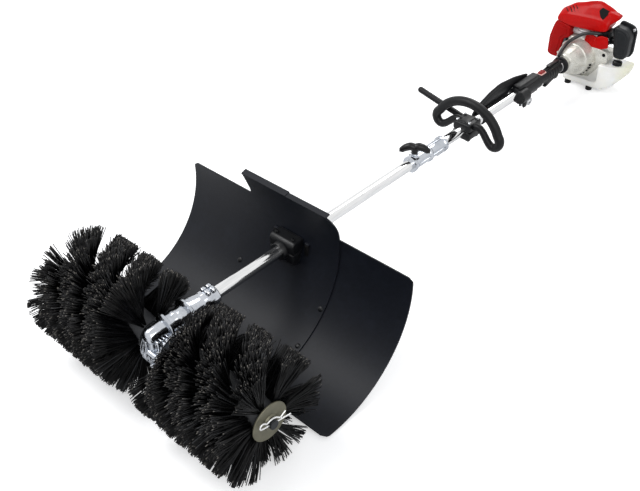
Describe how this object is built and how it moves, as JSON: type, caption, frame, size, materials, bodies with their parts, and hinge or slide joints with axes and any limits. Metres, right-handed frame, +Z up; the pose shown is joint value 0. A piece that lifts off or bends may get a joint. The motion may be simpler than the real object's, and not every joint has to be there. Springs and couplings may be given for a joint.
{
  "type": "power brush sweeper",
  "caption": "Hand-held power sweeper: a two-stroke engine on a split tube turns twin bristle drums through a worm gearbox, behind which a curved splash shield is clamped.",
  "frame": {"origin": "middle of the footprint, on the ground under the tool as it lies", "axes": "+X along the brush to the drum nearest the camera in the picture, +Y from the brush to the engine, +Z up from the ground"},
  "size_m": [0.667, 1.8938, 0.3009],
  "materials": {
    "cast": "satin cast",
    "engine_cast": "matt cast",
    "steel": "plain steel",
    "disc_steel": "olive grey paint",
    "bronze": "machined",
    "friction": "sintered",
    "fan": "cast",
    "tube_chrome": "polished",
    "black": "satin",
    "grip": "soft matt",
    "bar": "satin black",
    "nylon": "bristle",
    "bush": "moulded",
    "red": "gloss",
    "muffler_steel": "heatproof matt",
    "white": "translucent",
    "lever": "satin"
  },
  "bodies": {
    "frame": {"gearbox_housing": "cast", "gearbox_cover": "cast", "gearbox_screws": "steel", "bearings": "steel", "lower_tube": "tube_chrome", "upper_tube": "tube_chrome", "tube_bushings": "bush", "shield_centre": "black", "shield_wing_left": "black", "shield_wing_right": "black", "shield_clamp": "black", "shield_clamp_cap": "black", "shield_bolts": "steel", "coupler_body": "cast", "coupler_bolts": "steel", "loop_handle": "grip", "handle_clamp": "black", "handle_clamp_cap": "black", "handle_bolts": "steel", "barrier_bar": "bar", "hip_pad": "black", "harness_clamp": "black", "rear_grip": "black", "throttle_cable": "grip", "clutch_housing": "engine_cast", "crankcase": "engine_cast", "cylinder_block": "engine_cast", "top_cover": "red", "muffler": "muffler_steel", "muffler_cover": "red", "lower_shroud": "red", "carburettor": "black", "filter_cover": "black", "fuel_tank": "white", "tank_feet": "grip", "starter_housing": "black"},
    "brush": {"worm_wheel": "bronze", "brush_axle": "steel", "brush_cores": "black", "bristles_left": "nylon", "bristles_right": "nylon", "end_discs": "disc_steel", "r_clips": "steel"},
    "drive": {"worm_shaft": "steel", "lower_drive_shaft": "steel", "upper_drive_shaft": "steel", "clutch_drum": "steel"},
    "crank": {"clutch_shoes": "friction", "flywheel_fan": "fan", "crankshaft": "steel"},
    "knob": {"coupler_knob": "black"},
    "pin": {"lock_pin": "steel"},
    "eye": {"harness_eye": "steel"},
    "trigger": {"throttle_trigger": "black"},
    "lockout": {"trigger_lockout": "black"},
    "switch": {"stop_switch": "red"},
    "choke": {"choke_lever": "lever"},
    "filter_screw": {"filter_knob": "black"},
    "cap": {"fuel_cap": "black"},
    "pull": {"starter_handle": "black"}
  },
  "joints": [
    {"name": "brush_spin", "type": "hinge", "parent": "frame", "child": "brush", "pos_m": [0, -0.80888, 0.138], "axis": [1, 0, 0], "continuous": true},
    {"name": "drive_spin", "type": "hinge", "parent": "frame", "child": "drive", "pos_m": [0, -0.80619, 0.18793], "axis": [0, 0.9985, -0.0538], "continuous": true},
    {"name": "crank_spin", "type": "hinge", "parent": "frame", "child": "crank", "pos_m": [0, 0.73957, 0.10459], "axis": [0, 0.9985, -0.0538], "continuous": true},
    {"name": "knob_turn", "type": "hinge", "parent": "frame", "child": "knob", "pos_m": [0, 0.00663, 0.14411], "axis": [0, 0.0538, 0.9985], "range_deg": [0, 180]},
    {"name": "pin_pull", "type": "slide", "parent": "frame", "child": "pin", "axis": [-1, 0, 0], "range_m": [0, 0.005], "stiffness_N_per_m": 500, "springref_m": -0.004},
    {"name": "eye_swing", "type": "hinge", "parent": "frame", "child": "eye", "pos_m": [0.018, 0.4943, 0.08777], "axis": [1, 0, 0], "range_deg": [-75, 10]},
    {"name": "trigger_pull", "type": "hinge", "parent": "frame", "child": "trigger", "pos_m": [0, 0.69339, 0.08405], "axis": [-1, 0, 0], "range_deg": [0, 15], "stiffness_Nm_per_rad": 0.6, "springref_deg": -11.46},
    {"name": "lockout_press", "type": "hinge", "parent": "frame", "child": "lockout", "pos_m": [0, 0.70585, 0.12944], "axis": [1, 0, 0], "range_deg": [0, 8], "stiffness_Nm_per_rad": 0.6, "springref_deg": -11.46},
    {"name": "switch_slide", "type": "slide", "parent": "frame", "child": "switch", "axis": [0, 0.9985, -0.0538], "range_m": [0, 0.006]},
    {"name": "choke_turn", "type": "hinge", "parent": "frame", "child": "choke", "pos_m": [0.078, 0.84786, 0.16285], "axis": [0, -0.9985, 0.0538], "range_deg": [0, 60]},
    {"name": "filter_screw_turn", "type": "hinge", "parent": "frame", "child": "filter_screw", "pos_m": [0.147, 0.84019, 0.20632], "axis": [0, 0.9985, -0.0538], "range_deg": [0, 90]},
    {"name": "cap_turn", "type": "hinge", "parent": "frame", "child": "cap", "pos_m": [0.122, 0.85297, 0.09047], "axis": [0, 0.0538, 0.9985], "range_deg": [0, 90]},
    {"name": "starter_pull", "type": "slide", "parent": "frame", "child": "pull", "axis": [0, 0.9985, -0.0538], "range_m": [0, 0.06], "stiffness_N_per_m": 100, "springref_m": -0.05}
  ],
  "couplings": [
    {"joint": "drive_spin", "follows": "brush_spin", "ratio": 30}
  ]
}
